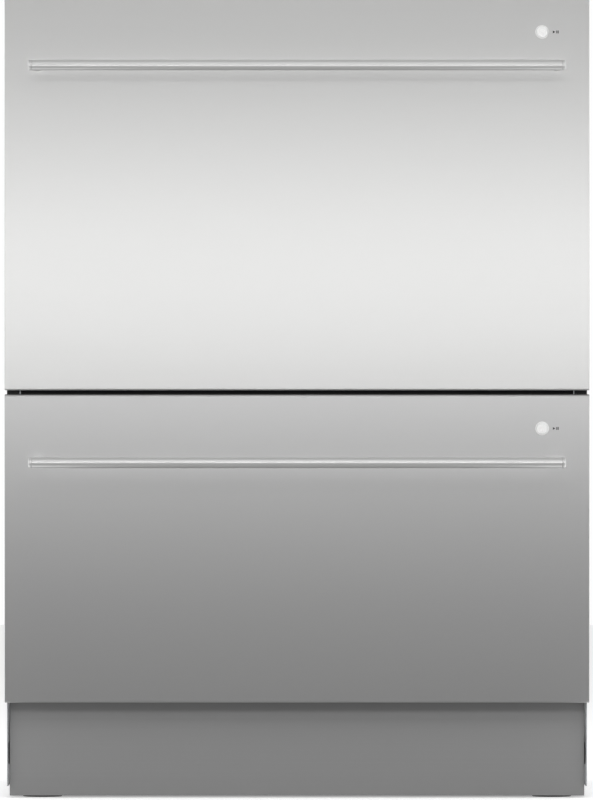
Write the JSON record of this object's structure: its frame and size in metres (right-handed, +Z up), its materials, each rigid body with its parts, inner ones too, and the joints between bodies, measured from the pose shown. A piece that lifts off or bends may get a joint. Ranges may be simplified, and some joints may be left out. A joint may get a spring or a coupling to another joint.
{
  "type": "two-drawer dishwasher",
  "caption": "Built-in dishwasher with two pull-out wash drawers, brushed steel doors, round bar handles, start buttons and a recessed kickplate.",
  "frame": {"origin": "middle of the footprint, on the floor", "axes": "+Z up, the doors face -Y, +X to the right seen from the front"},
  "size_m": [0.599, 0.621, 0.822],
  "materials": {
    "brushed_steel": "fine horizontal grain",
    "satin_steel": "satin",
    "polished_steel": "satin, drawn lengthways",
    "chrome": "polished",
    "button_metal": "spun, bright",
    "galvanised_sheet": "zinc coated sheet",
    "zinc_steel": "zinc plated",
    "black_paint": "matt",
    "black_rubber": "matt",
    "black_plastic": "fine grain",
    "grey_plastic": "moulded",
    "tub_plastic": "moulded, slightly glossy",
    "pale_plastic": "moulded",
    "white_plastic": "moulded",
    "filter_steel": "etched",
    "rack_wire": "nylon coated wire"
  },
  "bodies": {
    "root": {"side_panel_left": "galvanised_sheet", "side_panel_right": "galvanised_sheet", "top_panel": "galvanised_sheet", "back_panel": "galvanised_sheet", "base_tray": "grey_plastic", "cross_rail": "black_paint", "edge_seal": "black_rubber", "kickplate": "satin_steel", "outer_rails": "zinc_steel", "mounting_brackets": "zinc_steel", "inlet_valve": "white_plastic", "drain_outlet": "grey_plastic", "terminal_box": "black_plastic", "chassis_screws": "zinc_steel", "lid_guides": "grey_plastic"},
    "foot_front_left": {"foot_front_left": "black_plastic"},
    "foot_front_right": {"foot_front_right": "black_plastic"},
    "foot_rear_left": {"foot_rear_left": "black_plastic"},
    "foot_rear_right": {"foot_rear_right": "black_plastic"},
    "upper_drawer": {"upper_door_skin": "brushed_steel", "upper_door_liner": "grey_plastic", "upper_handle_bar": "polished_steel", "upper_handle_posts": "polished_steel", "upper_button_bezel": "chrome", "upper_tub": "tub_plastic", "upper_filter_plate": "filter_steel", "upper_wash_motor": "black_plastic", "upper_dish_rack": "rack_wire", "upper_detergent_box": "grey_plastic", "upper_inner_rails": "zinc_steel"},
    "upper_slides": {"upper_middle_rails": "zinc_steel"},
    "upper_start_button": {"upper_button": "button_metal"},
    "upper_wash_impeller": {"upper_impeller": "grey_plastic"},
    "upper_spray_arm": {"upper_spray_arm": "pale_plastic"},
    "upper_cup_rack": {"upper_cup_rack": "rack_wire"},
    "upper_cutlery_basket": {"upper_cutlery_basket": "pale_plastic"},
    "upper_detergent_flap": {"upper_detergent_flap": "pale_plastic"},
    "upper_lid": {"upper_lid": "tub_plastic", "upper_lid_seal": "black_rubber"},
    "lower_drawer": {"lower_door_skin": "brushed_steel", "lower_door_liner": "grey_plastic", "lower_handle_bar": "polished_steel", "lower_handle_posts": "polished_steel", "lower_button_bezel": "chrome", "lower_tub": "tub_plastic", "lower_filter_plate": "filter_steel", "lower_wash_motor": "black_plastic", "lower_dish_rack": "rack_wire", "lower_detergent_box": "grey_plastic", "lower_inner_rails": "zinc_steel"},
    "lower_slides": {"lower_middle_rails": "zinc_steel"},
    "lower_start_button": {"lower_button": "button_metal"},
    "lower_wash_impeller": {"lower_impeller": "grey_plastic"},
    "lower_spray_arm": {"lower_spray_arm": "pale_plastic"},
    "lower_cup_rack": {"lower_cup_rack": "rack_wire"},
    "lower_cutlery_basket": {"lower_cutlery_basket": "pale_plastic"},
    "lower_detergent_flap": {"lower_detergent_flap": "pale_plastic"},
    "lower_lid": {"lower_lid": "tub_plastic", "lower_lid_seal": "black_rubber"}
  },
  "joints": [
    {"name": "foot_front_left_turn", "type": "hinge", "parent": "root", "child": "foot_front_left", "pos_m": [-0.262, -0.193, 0.04], "axis": [0, 0, 1], "continuous": true},
    {"name": "foot_front_right_turn", "type": "hinge", "parent": "root", "child": "foot_front_right", "pos_m": [0.262, -0.193, 0.04], "axis": [0, 0, 1], "continuous": true},
    {"name": "foot_rear_left_turn", "type": "hinge", "parent": "root", "child": "foot_rear_left", "pos_m": [-0.262, 0.2615, 0.04], "axis": [0, 0, 1], "continuous": true},
    {"name": "foot_rear_right_turn", "type": "hinge", "parent": "root", "child": "foot_rear_right", "pos_m": [0.262, 0.2615, 0.04], "axis": [0, 0, 1], "continuous": true},
    {"name": "upper_drawer_slide", "type": "slide", "parent": "root", "child": "upper_drawer", "axis": [0, -1, 0], "range_m": [0, 0.48]},
    {"name": "upper_middle_slide", "type": "slide", "parent": "root", "child": "upper_slides", "axis": [0, -1, 0], "range_m": [0, 0.24]},
    {"name": "upper_button_press", "type": "slide", "parent": "upper_drawer", "child": "upper_start_button", "axis": [0, 1, 0], "range_m": [0, 0.0015], "stiffness_N_per_m": 400},
    {"name": "upper_impeller_spin", "type": "hinge", "parent": "upper_drawer", "child": "upper_wash_impeller", "pos_m": [0, 0.0065, 0.462], "axis": [0, 0, 1], "continuous": true},
    {"name": "upper_spray_arm_spin", "type": "hinge", "parent": "upper_drawer", "child": "upper_spray_arm", "pos_m": [0, 0.0065, 0.495], "axis": [0, 0, 1], "continuous": true},
    {"name": "upper_cup_rack_fold", "type": "hinge", "parent": "upper_drawer", "child": "upper_cup_rack", "pos_m": [-0.2555, 0.0065, 0.606], "axis": [0, -1, 0], "range_deg": [0, 80]},
    {"name": "upper_basket_lift", "type": "slide", "parent": "upper_drawer", "child": "upper_cutlery_basket", "axis": [0, 0, 1], "range_m": [0, 0.03]},
    {"name": "upper_flap_open", "type": "hinge", "parent": "upper_drawer", "child": "upper_detergent_flap", "pos_m": [-0.067, -0.2347, 0.737], "axis": [0, 0, 1], "range_deg": [0, 100]},
    {"name": "upper_lid_raise", "type": "slide", "parent": "root", "child": "upper_lid", "axis": [0, 0, 1], "range_m": [0, 0.008]},
    {"name": "lower_drawer_slide", "type": "slide", "parent": "root", "child": "lower_drawer", "axis": [0, -1, 0], "range_m": [0, 0.48]},
    {"name": "lower_middle_slide", "type": "slide", "parent": "root", "child": "lower_slides", "axis": [0, -1, 0], "range_m": [0, 0.24]},
    {"name": "lower_button_press", "type": "slide", "parent": "lower_drawer", "child": "lower_start_button", "axis": [0, 1, 0], "range_m": [0, 0.0015], "stiffness_N_per_m": 400},
    {"name": "lower_impeller_spin", "type": "hinge", "parent": "lower_drawer", "child": "lower_wash_impeller", "pos_m": [0, 0.0065, 0.132], "axis": [0, 0, 1], "continuous": true},
    {"name": "lower_spray_arm_spin", "type": "hinge", "parent": "lower_drawer", "child": "lower_spray_arm", "pos_m": [0, 0.0065, 0.165], "axis": [0, 0, 1], "continuous": true},
    {"name": "lower_cup_rack_fold", "type": "hinge", "parent": "lower_drawer", "child": "lower_cup_rack", "pos_m": [-0.2555, 0.0065, 0.276], "axis": [0, -1, 0], "range_deg": [0, 80]},
    {"name": "lower_basket_lift", "type": "slide", "parent": "lower_drawer", "child": "lower_cutlery_basket", "axis": [0, 0, 1], "range_m": [0, 0.03]},
    {"name": "lower_flap_open", "type": "hinge", "parent": "lower_drawer", "child": "lower_detergent_flap", "pos_m": [-0.067, -0.2347, 0.331], "axis": [0, 0, 1], "range_deg": [0, 100]},
    {"name": "lower_lid_raise", "type": "slide", "parent": "root", "child": "lower_lid", "axis": [0, 0, 1], "range_m": [0, 0.008]}
  ],
  "couplings": [
    {"joint": "upper_middle_slide", "follows": "upper_drawer_slide", "ratio": 0.5},
    {"joint": "lower_middle_slide", "follows": "lower_drawer_slide", "ratio": 0.5}
  ]
}
